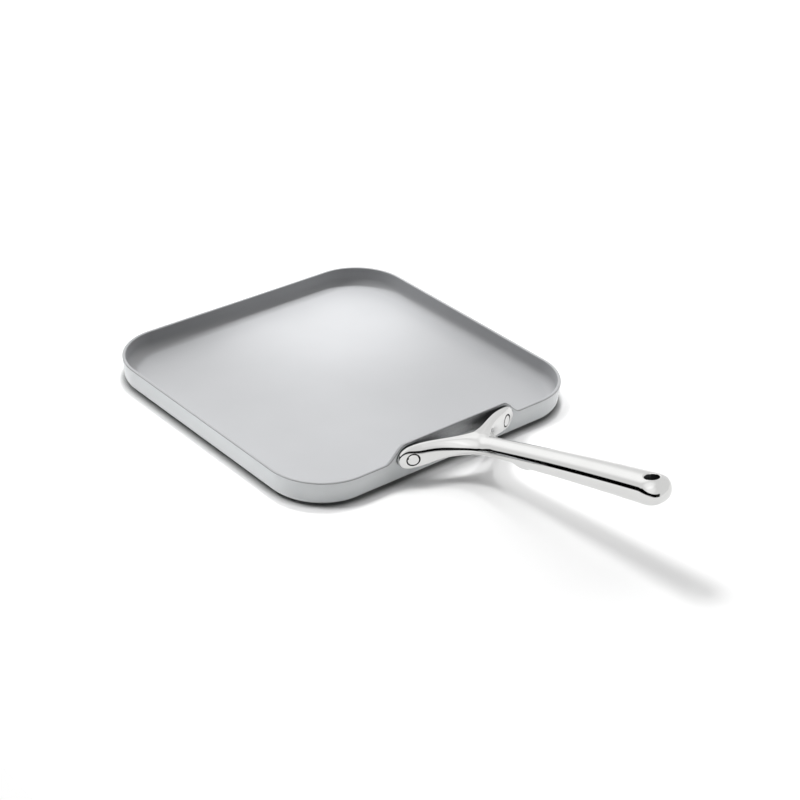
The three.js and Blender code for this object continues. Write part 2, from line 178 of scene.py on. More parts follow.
wall_foot = wall_inset(base_edge_radius)
floor_edge = wall_inset(fillet_top) + wall_thickness + floor_fillet
outer_section = [
    (wall_foot + base_edge_radius + flat_margin, 0),
    *reversed(arc(wall_foot + base_edge_radius, base_edge_radius, base_edge_radius, 180)),
    (wall_inset(fillet_top), fillet_top),
]
inner_section = [
    *reversed(arc(rim_round, rim_height - rim_round, rim_round, 90)),
    *reversed(arc(wall_thickness - rim_round, rim_height - rim_round, rim_round, 0)),
    *arc(floor_edge, fillet_top, floor_fillet, 180),
    (floor_edge + flat_margin, floor_thickness),
]
wall_section = section_curve("wall_section", outer_section + inner_section)


def new_material(name):
    """A material, its empty node tree, and the socket that gives the place on the object."""
    material = bpy.data.materials.new(name)
    material.use_nodes = True
    tree = material.node_tree
    tree.nodes.clear()
    return material, tree, node(tree, "ShaderNodeTexCoord").outputs["Object"]


def textured(name, colours, roughness, mottle, marks=None, marks_detail=3, relief=0, depth=0, metallic=1):
    """A material whose tone and gloss follow a mottle, and its relief finer marks or else the mottle.

    Mottle and marks are given by their sizes along X, Y and Z.
    """
    material, tree, place = new_material(name)
    noises = []
    for sizes, detail in ((mottle, 3), (marks or mottle, marks_detail)):
        scaled = node(tree, "ShaderNodeMapping", {"Vector": place, "Scale": [1 / size for size in sizes]})
        noise = node(tree, "ShaderNodeTexNoise", {"Vector": scaled.outputs[0], "Scale": 1, "Detail": detail})
        noises.append(noise.outputs["Fac"])
    tone = node(tree, "ShaderNodeMix", {
        "Factor": noises[0],
        "A": linear(colours[0]),
        "B": linear(colours[1]),
    }, data_type="RGBA")
    gloss = node(tree, "ShaderNodeMapRange", {
        "Value": noises[0],
        "To Min": roughness[0],
        "To Max": roughness[1],
    })
    bump = node(tree, "ShaderNodeBump", {"Height": noises[1], "Strength": relief, "Distance": depth})
    surface = node(tree, "ShaderNodeBsdfPrincipled", {
        "Base Color": tone.outputs["Result"],
        "Metallic": metallic,
        "Roughness": gloss.outputs["Result"],
        "Normal": bump.outputs["Normal"],
        "IOR": 1.5,
    })
    node(tree, "ShaderNodeOutputMaterial", {"Surface": surface.outputs["BSDF"]})
    return material


# Inside and over the rim, the release coat is a satin mid grey that gives a broad soft highlight. Outside,
# the coat is a paler grey with more gloss, so that the table shows in it. Both have a slow mottle and the
# orange peel of the spray gun, which is really about 0.6 mm across, drawn wider here so that it shows.
spray_mottle = (45 * MM, 45 * MM, 45 * MM)
orange_peel = (1.6 * MM, 1.6 * MM, 1.6 * MM)
sprayed = {"mottle": spray_mottle, "marks": orange_peel, "marks_detail": 1.5, "relief": 0.25, "metallic": 0}
release_coat = textured(
    "ceramic_release_coat", ("#a6a7a9", "#acadaf"), roughness=(0.36, 0.42), depth=0.04 * MM, **sprayed,
)
outer_coat = textured(
    "glossy_ceramic_outer_coat", ("#e4e7ea", "#e9ecef"), roughness=(0.2, 0.26), depth=0.02 * MM, **sprayed,
)

# Where the wall is closely surrounded, behind the fork and along the pads, the outer coat's colour is
# darkened with painted shade. The base edge, close over the table, is left out.
painted_shade_reach = 40 * MM
painted_shade_level = 0.12
painted_shade_closed = 0.42  # share of open directions where the shade is full
painted_shade_open = 0.58  # share where it ends
shader = outer_coat.node_tree
coat = shader.nodes["Principled BSDF"].inputs["Base Color"]
place = node(shader, "ShaderNodeTexCoord").outputs["Object"]
height = node(shader, "ShaderNodeSeparateXYZ", {"Vector": place}).outputs["Z"]
base_edge = node(shader, "ShaderNodeMapRange", {
    "Value": height,
    "From Min": base_edge_radius,
    "From Max": rim_height,
    "To Min": 1,
    "To Max": 0,
})
surround = node(shader, "ShaderNodeAmbientOcclusion", {"Distance": painted_shade_reach}, samples=16)
openness = node(shader, "ShaderNodeMath", {
    0: surround.outputs["AO"],
    1: base_edge.outputs["Result"],
}, operation="ADD")
shade = node(shader, "ShaderNodeMapRange", {
    "Value": openness.outputs[0],
    "From Min": painted_shade_closed,
    "From Max": painted_shade_open,
    "To Min": painted_shade_level,
})
# The painted shade scales the coat's colour
shaded = node(shader, "ShaderNodeVectorMath", {
    0: coat.links[0].from_socket,
    "Scale": shade.outputs["Result"],
}, operation="SCALE")
shader.links.new(shaded.outputs["Vector"], coat)

# The studs that come through the plate are bare aluminium, ground flush: bright grey with fine lines one
# way. The lines are really about 0.1 mm apart, drawn wider here so that they show.
ground_lines = (0.5 * MM, 25 * MM, 1)
ground_aluminium = textured(
    "ground_aluminium", ("#c9cacc", "#dfe0e1"), roughness=(0.3, 0.45), mottle=ground_lines,
)

# A perforated sheet: its outline, its grid of holes with none in the middle, and the faces and sides of a
# plate of that form
plate_size = 196 * MM
plate_corner_radius = 32 * MM
plate_thickness = 0.9 * MM
hole_diameter = 9 * MM
hole_pitch = 34 * MM
holes_per_side = 5


def sheet_values(gap):
    """The sizes of the plate, or with a gap those of its recess."""
    return {
        "Plate size": plate_size + 2 * gap,
        "Plate corner radius": plate_corner_radius + gap,
        "Hole diameter": hole_diameter - 2 * gap,
        "Hole pitch": hole_pitch,
        "Holes per side": holes_per_side,
        "Depth": plate_thickness + gap,
    }


plate_sizes = list(sheet_values(0))
sheet_parts = ("Outline", "Holes", "Lower face", "Upper face", "Sides")
perforation = new_tree("perforated_sheet", plate_sizes, results=sheet_parts)
given = node(perforation, "NodeGroupInput").outputs
edge = node(perforation, "GeometryNodeCurvePrimitiveQuadrilateral", {
    "Width": given["Plate size"],
    "Height": given["Plate size"],
})
edge = node(perforation, "GeometryNodeFilletCurve", {
    "Curve": edge.outputs[0],
    "Radius": given["Plate corner radius"],
    "Count": 16,
}, mode="POLY")
gaps = node(perforation, "ShaderNodeMath", {0: given["Holes per side"], 1: 1}, operation="SUBTRACT")
span = node(perforation, "ShaderNodeMath", {
    0: gaps.outputs[0],
    1: given["Hole pitch"],
}, operation="MULTIPLY")
grid = node(perforation, "GeometryNodeMeshGrid", {
    "Size X": span.outputs[0],
    "Size Y": span.outputs[0],
    "Vertices X": given["Holes per side"],
    "Vertices Y": given["Holes per side"],
})
here = node(perforation, "GeometryNodeInputPosition")
away = node(perforation, "ShaderNodeVectorMath", {0: here.outputs[0]}, operation="LENGTH")
half_pitch = node(perforation, "ShaderNodeMath", {0: given["Hole pitch"], 1: 0.5}, operation="MULTIPLY")
off_middle = node(perforation, "FunctionNodeCompare", {
    "A": away.outputs["Value"],
    "B": half_pitch.outputs[0],
}, operation="GREATER_THAN")
radius = node(perforation, "ShaderNodeMath", {0: given["Hole diameter"], 1: 0.5}, operation="MULTIPLY")
ring = node(perforation, "GeometryNodeCurvePrimitiveCircle", {
    "Resolution": 32,
    "Radius": radius.outputs[0],
})
rings = node(perforation, "GeometryNodeInstanceOnPoints", {
    "Points": grid.outputs["Mesh"],
    "Selection": off_middle.outputs["Result"],
    "Instance": ring.outputs["Curve"],
})
rings = node(perforation, "GeometryNodeRealizeInstances", {"Geometry": rings.outputs["Instances"]})
lines = node(perforation, "GeometryNodeJoinGeometry", {
    "Geometry": (edge.outputs["Curve"], rings.outputs["Geometry"]),
})
lower = node(perforation, "GeometryNodeFillCurve", {"Curve": lines.outputs["Geometry"]}, mode="NGONS")
through = node(perforation, "ShaderNodeCombineXYZ", {"Z": given["Depth"]})
upper = node(perforation, "GeometryNodeTransform", {
    "Geometry": lower.outputs["Mesh"],
    "Translation": through.outputs["Vector"],
})
lines = node(perforation, "GeometryNodeTransform", {
    "Geometry": lines.outputs["Geometry"],
    "Translation": through.outputs["Vector"],
})
lines = node(perforation, "GeometryNodeSetCurveNormal", {"Curve": lines.outputs["Geometry"]}, mode="Z_UP")
upright = node(perforation, "ShaderNodeCombineXYZ", {"Y": given["Depth"]})
upright = node(perforation, "GeometryNodeCurvePrimitiveLine", {"End": upright.outputs["Vector"]})
sides = node(perforation, "GeometryNodeCurveToMesh", {
    "Curve": lines.outputs["Curve"],
    "Profile Curve": upright.outputs["Curve"],
})
node(perforation, "NodeGroupOutput", {
    "Outline": edge.outputs["Curve"],
    "Holes": rings.outputs["Geometry"],
    "Lower face": lower.outputs["Mesh"],
    "Upper face": upper.outputs["Geometry"],
    "Sides": sides.outputs["Mesh"],
})

# The wall's section is swept round the rounded square, the handle's side is drawn up to the tab, and floor
# and base are filled in. The base has the plate's recess, with studs of aluminium in the plate's holes.
pan_sizes = ["Size", "Corner radius", "Floor height", "Lift from", "Lift to"]
pan_sizes += ["Tab rise", "Tab half", "Tab shoulder", "Outer points"]
pressing = new_tree("pan_pressing", pan_sizes + plate_sizes, section=True)
given = node(pressing, "NodeGroupInput").outputs
path = node(pressing, "GeometryNodeCurvePrimitiveQuadrilateral", {
    "Width": given["Size"],
    "Height": given["Size"],
})
path = node(pressing, "GeometryNodeFilletCurve", {
    "Curve": path.outputs[0],
    "Radius": given["Corner radius"],
    "Count": 48,
}, mode="POLY")
path = node(pressing, "GeometryNodeResampleCurve", {
    "Curve": path.outputs["Curve"],
    "Count": 720,
}, mode="COUNT")
path = node(pressing, "GeometryNodeSetCurveNormal", {"Curve": path.outputs["Curve"]}, mode="Z_UP")
section = node(pressing, "GeometryNodeObjectInfo", {"Object": given["Section"]})
section = node(pressing, "GeometryNodeTransform", {
    "Geometry": section.outputs["Geometry"],
    "Rotation": (0, 0, math.pi),
})
number = node(pressing, "GeometryNodeInputIndex")
section = node(pressing, "GeometryNodeCaptureAttribute", {
    "Geometry": section.outputs["Geometry"],
}, domain="POINT")
section.capture_items.new("FLOAT", "Section point")
pressing.links.new(number.outputs["Index"], section.inputs["Section point"])
swept = node(pressing, "GeometryNodeCurveToMesh", {
    "Curve": path.outputs["Curve"],
    "Profile Curve": section.outputs["Geometry"],
})
outside = node(pressing, "FunctionNodeCompare", {
    "A": section.outputs["Section point"],
    "B": given["Outer points"],
}, operation="LESS_THAN")
swept = node(pressing, "GeometryNodeSetMaterial", {
    "Geometry": swept.outputs["Mesh"],
    "Material": release_coat,
})
swept = node(pressing, "GeometryNodeSetMaterial", {
    "Geometry": swept.outputs["Geometry"],
    "Selection": outside.outputs["Result"],
    "Material": outer_coat,
})
here = node(pressing, "GeometryNodeInputPosition")
axes = node(pressing, "ShaderNodeSeparateXYZ", {"Vector": here.outputs[0]}).outputs
sideways = node(pressing, "ShaderNodeMath", {0: axes["Y"]}, operation="ABSOLUTE")
tab_end = node(pressing, "ShaderNodeMath", {
    0: given["Tab half"],
    1: given["Tab shoulder"],
}, operation="ADD")
shoulder = node(pressing, "ShaderNodeMapRange", {
    "Value": sideways.outputs[0],
    "From Min": given["Tab half"],
    "From Max": tab_end.outputs[0],
    "To Min": given["Tab rise"],
    "To Max": 0,
}, interpolation_type="SMOOTHSTEP")
drawn_up = node(pressing, "ShaderNodeMapRange", {
    "Value": axes["Z"],
    "From Min": given["Lift from"],
    "From Max": given["Lift to"],
})
handle_side = node(pressing, "ShaderNodeMath", {0: axes["X"], 1: 0}, operation="GREATER_THAN")
lift = node(pressing, "ShaderNodeMath", {
    0: shoulder.outputs["Result"],
    1: drawn_up.outputs["Result"],
}, operation="MULTIPLY")
lift = node(pressing, "ShaderNodeMath", {
    0: lift.outputs[0],
    1: handle_side.outputs[0],
}, operation="MULTIPLY")
upwards = node(pressing, "ShaderNodeCombineXYZ", {"Z": lift.outputs[0]})
wall = node(pressing, "GeometryNodeSetPosition", {
    "Geometry": swept.outputs["Geometry"],
    "Offset": upwards.outputs["Vector"],
})
neighbours = node(pressing, "GeometryNodeInputMeshEdgeNeighbors")
open_edge = node(pressing, "FunctionNodeCompare", {
    "A": neighbours.outputs["Face Count"],
    "B": 1,
}, data_type="INT", operation="EQUAL")
half_floor = floor_thickness / 2
is_high = node(pressing, "FunctionNodeCompare", {"A": axes["Z"], "B": half_floor}, operation="GREATER_THAN")
loops = {}
for name, operation in (("floor", "AND"), ("base", "NIMPLY")):
    chosen = node(pressing, "FunctionNodeBooleanMath", {
        0: open_edge.outputs[0],
        1: is_high.outputs[0],
    }, operation=operation)
    loop = node(pressing, "GeometryNodeMeshToCurve", {
        "Mesh": wall.outputs["Geometry"],
        "Selection": chosen.outputs[0],
    })
    loops[name] = loop.outputs["Curve"]
pan_floor = node(pressing, "GeometryNodeFillCurve", {"Curve": loops["floor"]}, mode="NGONS")
to_floor = node(pressing, "ShaderNodeCombineXYZ", {"Z": given["Floor height"]})
pan_floor = node(pressing, "GeometryNodeTransform", {
    "Geometry": pan_floor.outputs["Mesh"],
    "Translation": to_floor.outputs["Vector"],
})
recess_sizes = {size: given[size] for size in plate_sizes}
recess = node(pressing, "GeometryNodeGroup", recess_sizes, node_tree=perforation).outputs
base_lines = node(pressing, "GeometryNodeJoinGeometry", {"Geometry": (loops["base"], recess["Outline"])})
base = node(pressing, "GeometryNodeFillCurve", {"Curve": base_lines.outputs["Geometry"]}, mode="NGONS")
base = node(pressing, "GeometryNodeJoinGeometry", {
    "Geometry": (base.outputs["Mesh"], recess["Upper face"], recess["Sides"]),
})
studs = node(pressing, "GeometryNodeFillCurve", {"Curve": recess["Holes"]}, mode="NGONS")
parts = [wall.outputs["Geometry"]]
for bare, material in ((pan_floor, release_coat), (base, outer_coat), (studs, ground_aluminium)):
    part = node(pressing, "GeometryNodeSetMaterial", {"Geometry": bare.outputs[0], "Material": material})
    parts.append(part.outputs["Geometry"])
whole = node(pressing, "GeometryNodeJoinGeometry", {"Geometry": tuple(parts)})
node(pressing, "NodeGroupOutput", {"Geometry": whole.outputs["Geometry"]})
pan = from_tree("pan", pressing, {
    "Size": pan_size,
    "Corner radius": corner_radius,
    "Floor height": floor_thickness,
    "Lift from": fillet_top,
    "Lift to": rim_height - rim_round,
    "Tab rise": tab_rise,
    "Tab half": rivet_spacing / 2 + tab_past_rivet,
    "Tab shoulder": tab_shoulder,
    "Outer points": len(outer_section),
    "Section": wall_section,
    **sheet_values(clearance),
}, pan_sharp_angle)
bpy.data.objects.remove(wall_section)
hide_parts("pan_body")
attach(pan, "root")

# Induction plate
# A thin sheet of magnetic steel with round perforations, pressed flush into the soft aluminium base so
# that the pan heats on an induction hob. The aluminium comes through the holes and holds it.

# Rolled steel has a dull grey shine with fine lines along the rolling direction. The lines are really
# about 0.1 mm apart, drawn wider here so that they show.
rolling_lines = (60 * MM, 0.6 * MM, 1)
mill_steel = textured(
    "rolled_magnetic_steel", ("#a9a8a4", "#c3c2bd"), roughness=(0.3, 0.5), mottle=rolling_lines,
    relief=0.2, depth=0.02 * MM,
)

# The two faces of the perforated sheet and the sides between them
punching = new_tree("punched_plate", plate_sizes)
given = node(punching, "NodeGroupInput").outputs
punched_sizes = {size: given[size] for size in plate_sizes}
punched = node(punching, "GeometryNodeGroup", punched_sizes, node_tree=perforation).outputs
whole = node(punching, "GeometryNodeJoinGeometry", {
    "Geometry": (punched["Lower face"], punched["Upper face"], punched["Sides"]),
})
whole = node(punching, "GeometryNodeSetMaterial", {
    "Geometry": whole.outputs["Geometry"],
    "Material": mill_steel,
})
node(punching, "NodeGroupOutput", {"Geometry": whole.outputs["Geometry"]})
plate = from_tree("plate", punching, sheet_values(0), pan_sharp_angle)
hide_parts("induction_plate")
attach(plate, "root")

# Handle
# One steel casting, ground and polished: two pads against the wall tab, legs that meet in a fork, a slim
# neck with a finger stop below, and a grip that widens to a round end with a hang hole. It is riveted on
# through the pads.
rivet_height = 21.2 * MM
pad_thickness = 6.7 * MM
pad_slope = 0.42
pad_tilt = 0.08
pad_past_rivet = 10.4 * MM
pad_before_rivet = 7.5 * MM
pad_end_round = 9.5 * MM
pad_below_rivet = 8 * MM
pad_above_rivet = 9.8 * MM
pad_edge_round = 2 * MM
crotch_gap = 14.9 * MM
leg_lead = 20 * MM
neck_lead = 22 * MM
leg_share = 0.72  # part of the fork's front edge that belongs to the legs
leg_bend = 14 * MM
leg_fill = 3
fork_reach = 27.2 * MM
fork_height = 26.9 * MM
fork_ease = 9 * MM  # length in which the level fork turns into the sloping grip
neck_reach = 49.7 * MM
neck_width = 20.2 * MM
neck_depth = 16.2 * MM
neck_hollow = 2.2 * MM
grip_length = 191.5 * MM
grip_width = 26.4 * MM
grip_depth = 20.8 * MM
angle_at_fork = math.radians(17.8)
angle_at_tip = math.radians(14.6)
tip_round = 12.5 * MM
stop_start = 43.5 * MM
stop_rise = 9 * MM
stop_length = 4 * MM
stop_fall = 6.5 * MM
stop_depth = 1.6 * MM
hang_hole_diameter = 11 * MM
hang_hole_from_tip = 11.4 * MM
hang_hole_edge = 1.2 * MM
counterbore_diameter = 10.4 * MM
counterbore_depth = 1.4 * MM
bore_diameter = 8.9 * MM
handle_sharp_angle = 35

# Roundness of the sections: 2 is an ellipse, more is squarer
neck_roundness = 1.85
grip_roundness = 2.35
leg_roundness = 2.4
leg_back_roundness = 5
crotch_roundness = 2.5
tip_roundness = 2.4

handle_back = pan_size / 2 + clearance
pad_face = handle_back + pad_thickness
rivet_y = rivet_spacing / 2
grip_slope = math.tan(angle_at_fork)
fork_x = handle_back + fork_reach
leg_start_y = rivet_y - pad_before_rivet
neck_length = (neck_reach - fork_reach) / math.cos(angle_at_fork)
pad_edge_height = rivet_height - pad_below_rivet + pad_edge_round
pad_above = rivet_height + pad_above_rivet - pad_edge_height
pad_middle = rivet_height + (pad_above_rivet - pad_below_rivet) / 2


def blend(start, end, share):
    return start + (end - start) * share


def clamp(value):
    return min(max(value, 0), 1)


def smooth(value, start, end):
    """Rises from 0 to 1 between start and end, level at both."""
    share = clamp((value - start) / (end - start))
    return share * share * (3 - 2 * share)


def curve_point(points, share):
    """Point of the smooth curve that a few control points pull."""
    while len(points) > 1:
        points = [a.lerp(b, share) for a, b in zip(points, points[1:])]
    return points[0]


def fork_back(y):
    """Back edge of the fork in plan: it leaves the wall at the pad and bends out to the crotch."""
    return handle_back + crotch_gap * (1 + math.cos(math.pi * min(y / rivet_y, 1))) / 2


def pad_line(y):
    """Front face of the pad in plan."""
    return pad_face + pad_slope * (rivet_y - y)


leg_start = Vector((pad_line(leg_start_y), leg_start_y))
neck_side = Vector((handle_back + neck_reach, neck_width / 2))
fork_front = [
    leg_start,
    leg_start + Vector((pad_slope, -1)) * leg_lead,
    neck_side - Vector((neck_lead, 0)),
    neck_side,
]
leg_middle = Vector(((leg_start.x + fork_back(leg_start_y)) / 2, leg_start_y))
leg_centre = [leg_middle, Vector(((leg_middle.x + fork_x) / 2, leg_bend)), Vector((fork_x, 0))]


def grip_angle(along):
    return blend(angle_at_fork, angle_at_tip, along / grip_length)


def grip_point(along):
    """Centre line of the grip, a flat arc that rises from the fork."""
    bend = grip_length / (angle_at_fork - angle_at_tip)
    angle = grip_angle(along)
    x = fork_x + bend * (math.sin(angle_at_fork) - math.sin(angle))
    return Vector((x, 0, fork_height + bend * (math.cos(angle) - math.cos(angle_at_fork))))


def underside(along):
    """The neck is hollowed below and swells to a finger stop, gently from the pan, steeply to the grip."""
    crest = stop_start + stop_rise
    rise = smooth(along, stop_start, crest)
    fall = smooth(along, crest + stop_length, crest + stop_length + stop_fall)
    return stop_depth * rise * (1 - fall) - neck_hollow * (1 - rise)


def slope_height(x):
    """Height of the grip's line, drawn back towards the wall."""
    return fork_height + grip_slope * (x - fork_x)


def fork_lift(along):
    """The top of the fork is level, so it stands above the line of the grip where the grip starts."""
    return grip_slope * max(fork_ease - along, 0) ** 2 / (2 * fork_ease)


pad_drop = slope_height((handle_back + pad_face) / 2) - pad_edge_height


def leg_heights(x, y):
    """How far pad and leg have risen to the fork, the height of their edges, and what is above and below."""
    rise = 1 - smooth(y, 0, rivet_y)
    edge_height = slope_height(x) - pad_drop * (1 - rise)
    above = blend(pad_above, neck_depth / 2 + fork_lift(0), rise)
    below = blend(pad_edge_round, neck_depth / 2 - neck_hollow, rise ** leg_fill)
    return rise, edge_height, above, below


# A station is a centre, an upward direction, the height above and below, and the front and back edges with
# the roundness of their sides
def pad_station(y):
    end_y = rivet_y + pad_past_rivet
    full = math.sqrt(1 - clamp((y - end_y + pad_end_round) / pad_end_round) ** 2)
    front, back = pad_line(y), fork_back(y)
    middle = (front + back) / 2
    edge_height, above, below = leg_heights(middle, y)[1:]
    centre = Vector((middle, y, blend(pad_middle, edge_height, full)))
    front_edge = (Vector((front - middle, 0, 0)), leg_roundness)
    back_edge = (Vector((back - middle, 0, 0)), leg_back_roundness)
    return centre, Vector((0, 0, 1)), above * full, below * full, front_edge, back_edge


def leg_station(share):
    middle = curve_point(leg_centre, share)
    front = curve_point(fork_front, share * leg_share)
    back_y = leg_start_y * (1 - share)
    rise, edge_height, above, below = leg_heights(middle.x, middle.y)
    front_reach = Vector((front.x - middle.x, front.y - middle.y, rise * grip_slope * (front.x - middle.x)))
    back_reach = Vector((fork_back(back_y) - middle.x, back_y - middle.y, 0))
    front_edge = (front_reach, blend(leg_roundness, neck_roundness, share))
    back_edge = (back_reach, blend(leg_back_roundness, crotch_roundness, share))
    return Vector((middle.x, middle.y, edge_height)), Vector((0, 0, 1)), above, below, front_edge, back_edge


def grip_station(along):
    centre = grip_point(along)
    tilt = grip_angle(along) * smooth(along, 0, neck_length)
    size = clamp((along - neck_length) / (grip_length - tip_round - neck_length))
    into_tip = clamp((along - grip_length + tip_round) / tip_round)
    full = (1 - into_tip ** tip_roundness) ** (1 / tip_roundness)
    half = full * blend(neck_depth, grip_depth, size) / 2
    side = curve_point(fork_front, blend(leg_share, 1, min(along / neck_length, 1)))
    if along < neck_length:
        reach = Vector((side.x - centre.x, side.y, grip_slope * (side.x - centre.x)))
    else:
        reach = Vector((0, full * blend(neck_width, grip_width, size) / 2, 0))
    side_edge = (reach, blend(neck_roundness, grip_roundness, size))
    up = Vector((-math.sin(tilt), 0, math.cos(tilt)))
    return centre, up, half + fork_lift(along), half + full * underside(along), side_edge, None


def section_row(station, edge, side, steps=32):
    """Points from the top of a station over one of its edges to its underside."""
    centre, up, above, below = station[:4]
    reach, roundness = edge
    row = []
    for i in range(-steps, steps + 1):
        angle = math.pi / 2 * i / steps
        out = 0 if abs(i) == steps else math.cos(angle) ** (2 / roundness)
        rise = abs(math.sin(angle)) ** (2 / roundness) * (above if i < 0 else -below)
        point = centre + reach * out + up * rise
        row.append(Vector((point.x, point.y * side, point.z)))
    return row


def shares(count):
    return [i / count for i in range(count)]


round_to = rivet_y + pad_past_rivet - pad_end_round
grip_end = grip_length - tip_round
hole_along = grip_length - hang_hole_from_tip
fine_from = hole_along - hang_hole_diameter
# Stations, closest where the form turns most
pad_and_leg = [
    *[pad_station(round_to + pad_end_round * math.cos(math.pi / 2 * t)) for t in shares(24)],
    *[pad_station(blend(round_to, leg_start_y, t)) for t in shares(16)],
    *[leg_station(t) for t in shares(56)],
]
neck_and_grip = [
    *[grip_station(neck_length * t) for t in shares(24)],
    *[grip_station(blend(neck_length, fine_from, t)) for t in shares(120)],
    *[grip_station(blend(fine_from, grip_end, t)) for t in shares(24)],
    *[grip_station(grip_end + tip_round * math.sin(math.pi / 2 * t)) for t in shares(32)],
    grip_station(grip_length),
]
casting = bmesh.new()
for side in (1, -1):
    front_rows = [section_row(s, s[4], side) for s in pad_and_leg + neck_and_grip]
    back_rows = [section_row(s, s[5], side) for s in pad_and_leg + [leg_station(1)]]
    for rows in (front_rows, back_rows):
        grid = [[casting.verts.new(point) for point in row] for row in rows]
        for row, following in zip(grid, grid[1:]):
            for j in range(len(row) - 1):
                casting.faces.new((row[j], row[j + 1], following[j + 1], following[j]))

# The legs and the neck are ground into one another round the fork. Each pass of grinding evens out the
# surface and then swells it by as much, so that ridges go and the size stays.
grind_middle = Vector((fork_x, 0, fork_height))
grind_core = 16 * MM
grind_reach = 40 * MM
grind_passes = 150
grind_even = 0.5
grind_swell = 0.508
bmesh.ops.remove_doubles(casting, verts=casting.verts, dist=seam)
for t in shares(grind_passes):
    wheel_reach = blend(grind_core, grind_reach, t)
    ground = [vertex for vertex in casting.verts if (vertex.co - grind_middle).length < wheel_reach]
    for factor in (grind_even, -grind_swell):
        bmesh.ops.smooth_vert(
            casting, verts=ground, factor=factor, use_axis_x=True, use_axis_y=True, use_axis_z=True,
        )

# The edge of the hang hole is rounded: the surface sinks to the hole's side over a small radius
hole_middle = grip_point(hole_along)
hole_axis = Vector((-math.sin(grip_angle(hole_along)), 0, math.cos(grip_angle(hole_along))))
hole_radius = hang_hole_diameter / 2
for vertex in casting.verts:
    from_middle = vertex.co - hole_middle
    height = from_middle.dot(hole_axis)
    away = max((from_middle - hole_axis * height).length, hole_radius)
    if away < hole_radius + hang_hole_edge:
        drop = hang_hole_edge - math.sqrt(hang_hole_edge ** 2 - (hole_radius + hang_hole_edge - away) ** 2)
        vertex.co -= hole_axis * math.copysign(drop, height)
handle_mesh = bpy.data.meshes.new("handle_casting")
casting.to_mesh(handle_mesh)
casting.free()
finish_mesh(handle_mesh, handle_sharp_angle)
handle = add_object("handle_casting", handle_mesh)


def drill(diameter, length, place, surface, slant_y=None):
    """A round cutter and the surface it leaves. With a slant, its near end follows the slope of the pad."""
    radius = diameter / 2
    cutter = bmesh.new()
    bmesh.ops.create_cone(
        cutter, cap_ends=True, segments=96, radius1=radius, radius2=radius, depth=length, matrix=place,
    )
    if slant_y is not None:
        for vertex in cutter.verts:
            y, z = vertex.co.y - slant_y, vertex.co.z - rivet_height
            vertex.co.x -= pad_slope * math.copysign(1, slant_y) * y + pad_tilt * z
    mesh = bpy.data.meshes.new("drill")
    mesh.materials.append(surface)
    cutter.to_mesh(mesh)
    cutter.free()
    return add_object("drill", mesh)


def cut(piece, drills, sharp_angle):
    """Cuts the drills out of a piece."""
    for tool in drills:
        modifier = piece.modifiers.new("cut", "BOOLEAN")
        modifier.object = tool
        modifier.operation = "DIFFERENCE"
        modifier.solver = "EXACT"
        modifier.material_mode = "TRANSFER"
    keep_result(piece, sharp_angle)


# Polished stainless steel: bright and neutral, a mirror with a faint haze, with fine wheel marks along the
# grip. The marks are really under 0.1 mm apart, drawn wider here so that they show.
haze = (18 * MM, 18 * MM, 18 * MM)
wheel_marks = (30 * MM, 0.5 * MM, 0.5 * MM)
polished_steel = textured(
    "polished_cast_stainless_steel", ("#d6d6d5", "#dcdcdb"), roughness=(0.05, 0.11), mottle=haze,
    marks=wheel_marks, marks_detail=2, relief=0.05, depth=0.01 * MM,
)
handle.data.materials.append(polished_steel)

# The sides of the holes are not polished: rough steel as it was cast, with its colour darkened to nearly
# black as painted shade for the shade inside the holes
grain_size = 1.2 * MM
unpolished_steel_and_shade, shader, place = new_material("dark_as_cast_steel")
grain = node(shader, "ShaderNodeTexNoise", {"Vector": place, "Scale": 1 / grain_size, "Detail": 3})
tone = node(shader, "ShaderNodeMix", {
    "Factor": grain.outputs["Fac"],
    "A": linear("#38393a"),
    "B": linear("#48494b"),
}, data_type="RGBA")
bump = node(shader, "ShaderNodeBump", {
    "Height": grain.outputs["Fac"],
    "Strength": 0.3,
    "Distance": 0.05 * MM,
})
surface = node(shader, "ShaderNodeBsdfPrincipled", {
    "Base Color": tone.outputs["Result"],
    "Metallic": 1,
    "Roughness": 0.5,
    "Normal": bump.outputs["Normal"],
})
node(shader, "ShaderNodeOutputMaterial", {"Surface": surface.outputs["BSDF"]})

square_to_grip = Matrix.Translation(hole_middle) @ hole_axis.to_track_quat("Z", "Y").to_matrix().to_4x4()
handle_drills = [drill(hang_hole_diameter, 2 * grip_depth, square_to_grip, unpolished_steel_and_shade)]
pan_drills = []
along_x = Matrix.Rotation(math.pi / 2, 4, "Y")
bore_length = 60 * MM
counterbore_x = pad_face - counterbore_depth + bore_length / 2
for y in (-rivet_y, rivet_y):
    bore_place = Matrix.Translation((handle_back, y, rivet_height)) @ along_x
    handle_drills.append(drill(bore_diameter, bore_length, bore_place, unpolished_steel_and_shade))
    pan_drills.append(drill(bore_diameter, bore_length, bore_place, ground_aluminium))
    pad_place = Matrix.Translation((counterbore_x, y, rivet_height)) @ along_x
    handle_drills.append(drill(counterbore_diameter, bore_length, pad_place, unpolished_steel_and_shade, slant_y=y))
cut(handle, handle_drills, handle_sharp_angle)
cut(pan, pan_drills, pan_sharp_angle)
for tool in handle_drills + pan_drills:
    bpy.data.objects.remove(tool)
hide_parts("handle")
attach(handle, "root")

